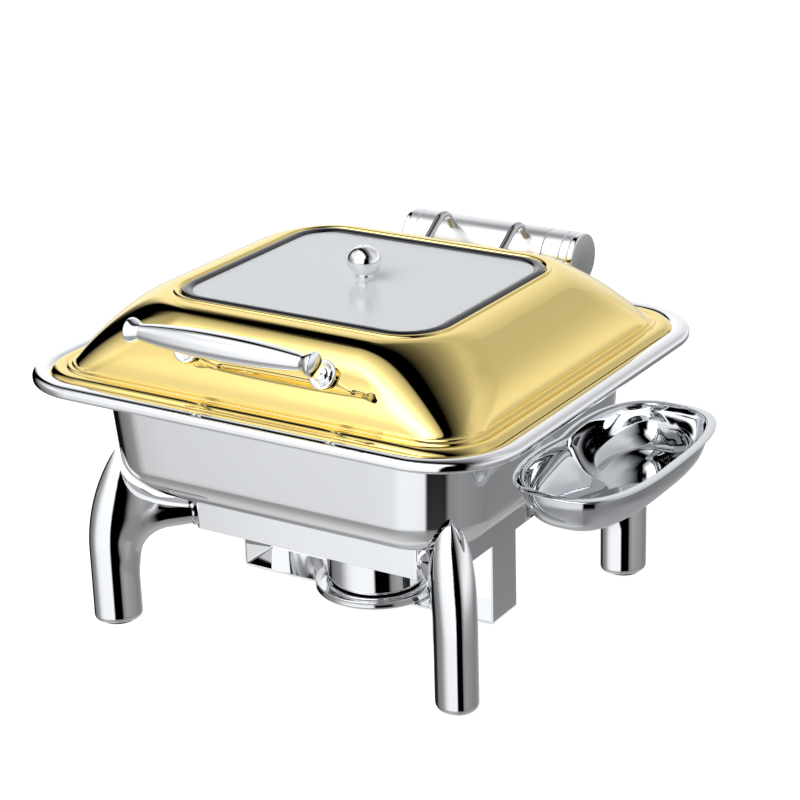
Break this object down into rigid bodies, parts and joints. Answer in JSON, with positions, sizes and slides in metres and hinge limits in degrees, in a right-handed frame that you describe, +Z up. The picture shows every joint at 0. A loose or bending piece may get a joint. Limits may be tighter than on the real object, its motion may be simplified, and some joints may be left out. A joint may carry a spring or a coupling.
{
  "type": "roll top chafer",
  "caption": "Hinged roll-top food warmer: domed gold lid with a glass window, steel pans, tusk legs, a fuel burner underneath and a spoon holder at the side.",
  "frame": {"origin": "on the table, under the centre of the closed object's bounding box", "axes": "+X to the user's right (the spoon holder's side), +Y to the back (the hinge), +Z up"},
  "size_m": [0.499, 0.4362, 0.3008],
  "materials": {
    "polished_steel": "mirror polished stainless steel",
    "gold_steel": "mirror polished, gold plated stainless steel",
    "brushed_steel": "brushed stainless steel",
    "plain_steel": "satin steel",
    "black_rubber": "matte black rubber",
    "black_gasket": "glossy black silicone",
    "black_plastic": "matte black plastic",
    "clear_glass": "clear tempered glass"
  },
  "bodies": {
    "stand": {"stand_frame": "polished_steel", "leg_front_left": "polished_steel", "leg_front_right": "polished_steel", "leg_rear_left": "polished_steel", "leg_rear_right": "polished_steel", "foot_pads": "black_rubber", "leg_collars": "polished_steel", "leg_screws": "plain_steel", "burner_bracket": "polished_steel", "burner_tray": "polished_steel", "fuel_cup": "polished_steel", "cup_pivot": "plain_steel", "water_pan": "polished_steel", "food_pan": "brushed_steel", "hinge_bracket": "plain_steel", "hinge_bracket_screws": "plain_steel", "hinge_sleeve_left": "polished_steel", "hinge_sleeve_right": "polished_steel", "hinge_cap_left": "polished_steel", "hinge_cap_right": "polished_steel", "hinge_pin": "plain_steel", "spoon_bowl": "polished_steel", "spoon_bracket": "plain_steel", "spoon_screws": "plain_steel"},
    "lid": {"hinge_barrel": "polished_steel", "hinge_damper": "black_plastic", "arm_left": "polished_steel", "arm_right": "polished_steel", "arm_nuts": "plain_steel", "lid_shell": "gold_steel", "window_gasket": "black_gasket", "window_glass": "clear_glass", "knob": "polished_steel", "knob_screw": "plain_steel", "handle_grip": "polished_steel", "handle_posts": "polished_steel", "handle_rosettes": "polished_steel", "handle_nuts": "plain_steel"},
    "cup_cover": {"cup_cover": "polished_steel", "cup_cover_tab": "black_plastic"}
  },
  "joints": [
    {"name": "lid_hinge", "type": "hinge", "parent": "stand", "child": "lid", "pos_m": [-0.0345, 0.19562, 0.243], "axis": [-1, 0, 0], "range_deg": [0, 90]},
    {"name": "cover_swivel", "type": "hinge", "parent": "stand", "child": "cup_cover", "pos_m": [-0.06568, 0.00722, 0.0624], "axis": [0, 0, 1], "range_deg": [0, 110]}
  ]
}
